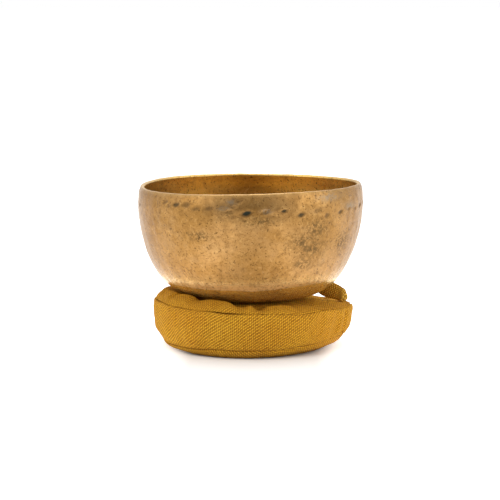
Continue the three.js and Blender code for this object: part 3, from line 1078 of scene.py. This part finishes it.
def make_strap_thread():
    """The stitches that close the strip, on its outer face just above the middle."""
    line, out = strap_line()
    line = line[16:-16]
    out = out[16:-16]
    face = STRAP_THICKNESS / 2 * 0.62
    path = np.stack([line[:, 0] + out[:, 0] * face, line[:, 1] + out[:, 1] * face, line[:, 2] + 0.75], 1)
    run = np.linspace(0, 52, len(path))
    thread = tube("strap_stitches", path, stitches(run, STRAP_STITCH), closed=False)
    thread.data.materials.append(yarn_material())
    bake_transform(thread)
    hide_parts("strap_edge_thread")


# ---- filling ----


def filling_material():
    n = Nodes("filling_fibre")
    tuft = n.noise(n.place(), 300, 5, 0.7)
    colour = n.mix(n.spread(tuft, 0.3, 0.7), rgb(214, 206, 190), rgb(238, 232, 220))
    n.link(colour, n.shader.inputs["Base Color"])
    n.shader.inputs["Roughness"].default_value = 1.0
    n.link(n.bump(tuft, 0.8, 0.001), n.shader.inputs["Normal"])
    return n.material


def make_filling(skins):
    """The wadding, just inside the cloth of the top, the band and the bottom."""
    inset = [(3.0, -2.6), (2.4, 0), (2.4, 1.4)]  # (inwards, upwards) from each skin
    rows = []
    for skin, (inwards, lift) in zip(skins, inset):
        place = skin[2:-2:6, ::4].copy()
        radius = np.hypot(place[..., 0], place[..., 1])
        place[..., :2] *= ((radius - inwards) / radius)[..., None]
        place[..., 2] += lift
        rows.append(place)
    wad = grid_mesh("filling_wad", np.concatenate(rows)[::-1], cap_start=True, cap_end=True)
    wad.data.materials.append(filling_material())
    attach(wad, "cushion")
    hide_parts("filling")


# ---- cotton ----


def crown(n, across, along, lean, width):
    """The crown of one thread where it passes over another. The twist makes it lean."""
    tilted = n.times(n.math("MULTIPLY_ADD", along, -lean, across), math.pi * width)
    rise = n.math("MAXIMUM", n.math("COSINE", tilted), 0.0)
    return n.times(rise, n.math("COSINE", n.times(along, math.pi * 0.8)))


def weave(n, cloth):
    """A plain weave's relief, and the column and row of each crossing. Its threads wander a little."""
    drift = n.add("ShaderNodeTexNoise")
    n.link(cloth, drift.inputs["Vector"])
    drift.inputs["Scale"].default_value = 0.045
    moved = n.add("ShaderNodeVectorMath", operation="MULTIPLY_ADD")
    n.link(drift.outputs["Color"], moved.inputs[0])
    moved.inputs[1].default_value = (1.6, 1.6, 0)
    n.link(cloth, moved.inputs[2])
    place = n.split(moved.outputs[0])
    a = n.math("DIVIDE", place["X"], WARP_PITCH)
    b = n.math("DIVIDE", place["Y"], WEFT_PITCH)
    column = n.math("FLOOR", a)
    row = n.math("FLOOR", b)
    da = n.math("SUBTRACT", n.math("SUBTRACT", a, column), 0.5)
    db = n.math("SUBTRACT", n.math("SUBTRACT", b, row), 0.5)
    threads = n.add("ShaderNodeMix", data_type="FLOAT")
    n.link(n.math("PINGPONG", n.math("ADD", column, row), 1.0), threads.inputs[0])
    n.link(n.times(crown(n, db, da, 0.5, 1.0), 0.62), threads.inputs[2])
    n.link(crown(n, da, db, 0.55, 0.95), threads.inputs[3])
    # The warp is the thicker thread, and its crowns run into slanting rows.
    slant = n.math("COSINE", n.times(n.math("SUBTRACT", a, b), math.pi))
    height = n.math("MULTIPLY_ADD", slant, -0.12, n.math("MULTIPLY_ADD", threads.outputs[0], 0.86, 0.14))
    return height, column, row


@functools.cache
def cotton_material():
    n = Nodes("mustard_cotton")
    cloth = n.attribute("cloth", "Vector")
    height, column, row = weave(n, cloth)
    place = n.place()
    fade = n.noise(place, 30, 3)
    fuzz = n.noise(cloth, 2.2, 3)
    yellow = n.mix(n.spread(fade, 0.3, 0.7), rgb(243, 186, 52), rgb(230, 167, 42))
    # Painted light: the strap is lighter than the rest of the cloth.
    yellow = n.mix(n.times(n.attribute("strap_painted_light"), 0.8), yellow, rgb(255, 214, 92))
    crossing = n.add("ShaderNodeCombineXYZ")
    n.link(column, crossing.inputs[0])
    n.link(row, crossing.inputs[1])
    chance = n.add("ShaderNodeTexWhiteNoise", noise_dimensions="2D")
    n.link(crossing.outputs[0], chance.inputs["Vector"])
    # Painted shade: the weave's hollows between crowns are coloured darker, and each crossing varies a
    # little at random.
    uneven = n.math("MULTIPLY_ADD", n.math("SUBTRACT", chance.outputs["Value"], 0.5), 0.16, height)
    colour = n.mix(n.spread(uneven, 0.12, 0.85), rgb(130, 74, 4), yellow)
    colour = n.mix(n.times(n.spread(fuzz, 0.4, 0.75), 0.2), colour, rgb(230, 182, 78))
    # Painted shadow: the cloth is darker within 5 mm of the floor, where the cushion rests on it.
    contact_shadow = n.spread(n.split(place)["Z"], 0.005, 0.0005, 0.0, 0.55)
    colour = n.mix(contact_shadow, colour, rgb(92, 56, 14))
    n.link(colour, n.shader.inputs["Base Color"])
    n.shader.inputs["Roughness"].default_value = 0.92
    n.shader.inputs["Specular IOR Level"].default_value = 0.15
    n.shader.inputs["Sheen Weight"].default_value = 0.18
    n.shader.inputs["Sheen Roughness"].default_value = 0.5
    n.shader.inputs["Sheen Tint"].default_value = rgb(240, 184, 66)
    full = n.math("ADD", height, n.times(fuzz, 0.25))
    n.link(n.bump(full, 0.8, 0.0006), n.shader.inputs["Normal"])
    return n.material


make_camera()
make_world()
make_floor()
make_lights()
bpy.context.scene.view_settings.view_transform = "Standard"
make_bowl()
make_cushion()
make_threads()
make_strap()
make_strap_thread()
